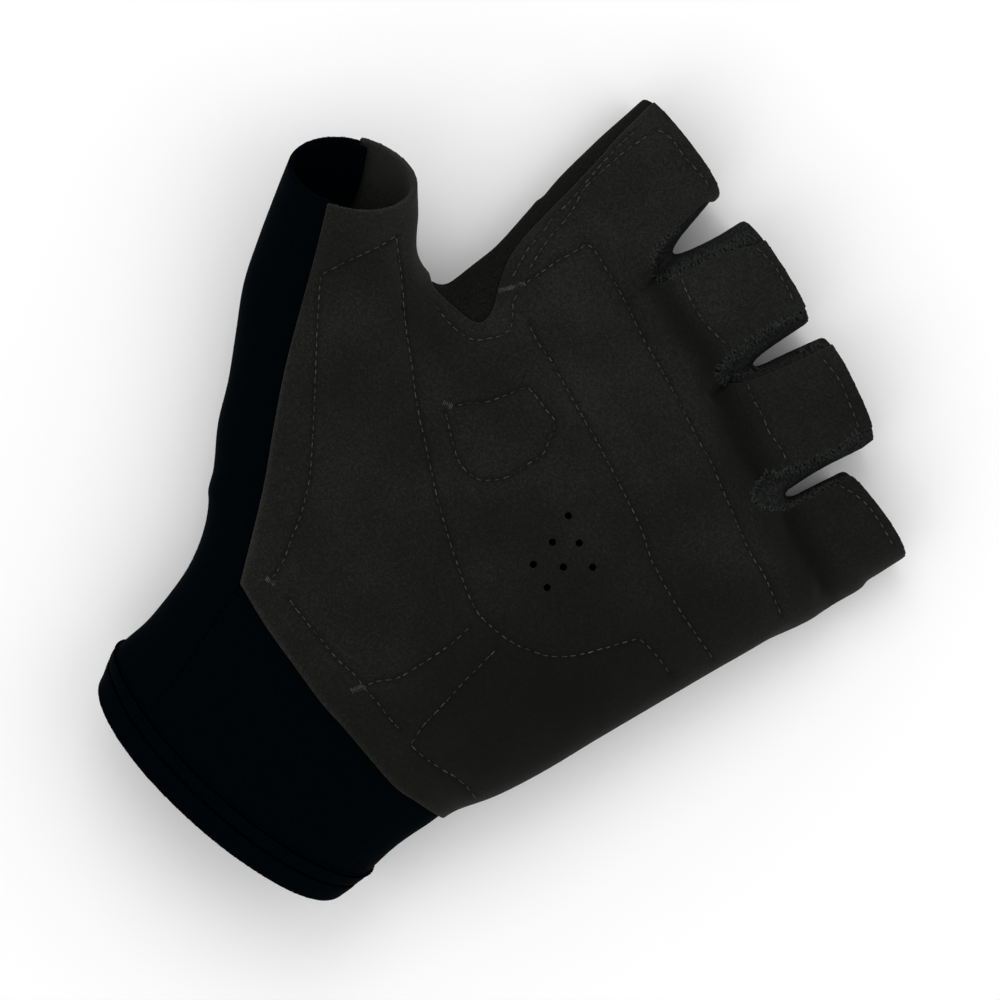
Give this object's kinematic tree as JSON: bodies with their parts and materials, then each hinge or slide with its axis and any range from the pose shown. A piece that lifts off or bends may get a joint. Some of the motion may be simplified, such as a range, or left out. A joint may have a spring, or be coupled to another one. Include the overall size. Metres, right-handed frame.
{
  "type": "cycling glove",
  "caption": "Fingerless cycling glove for a left hand, lying palm up: suede palm with padded fields and vents, stretch back and cuff, knit finger webs, open thumb, fingers and wrist",
  "frame": {"origin": "middle of the resting footprint's bounding box, on the surface the glove lies on", "axes": "+Y along the hand from the wrist to the fingertips, +X towards the little finger, +Z out of the palm and up from the surface"},
  "size_m": [0.146, 0.1712, 0.0395],
  "materials": {
    "suede": "napped microfibre suede",
    "lycra": "smooth stretch knit",
    "ribbed_knit": "fine ribbed knit",
    "mesh_knit": "coarse mesh knit"
  },
  "bodies": {
    "root": {"palm_panel": "suede", "middle_finger_panel": "suede", "ring_finger_panel": "suede", "back_panel": "lycra", "wrist_panel": "lycra", "cuff_hem": "lycra", "web_gusset": "ribbed_knit", "finger_web_index_middle": "mesh_knit", "finger_web_middle_ring": "mesh_knit", "finger_web_ring_little": "mesh_knit"}
  },
  "joints": []
}
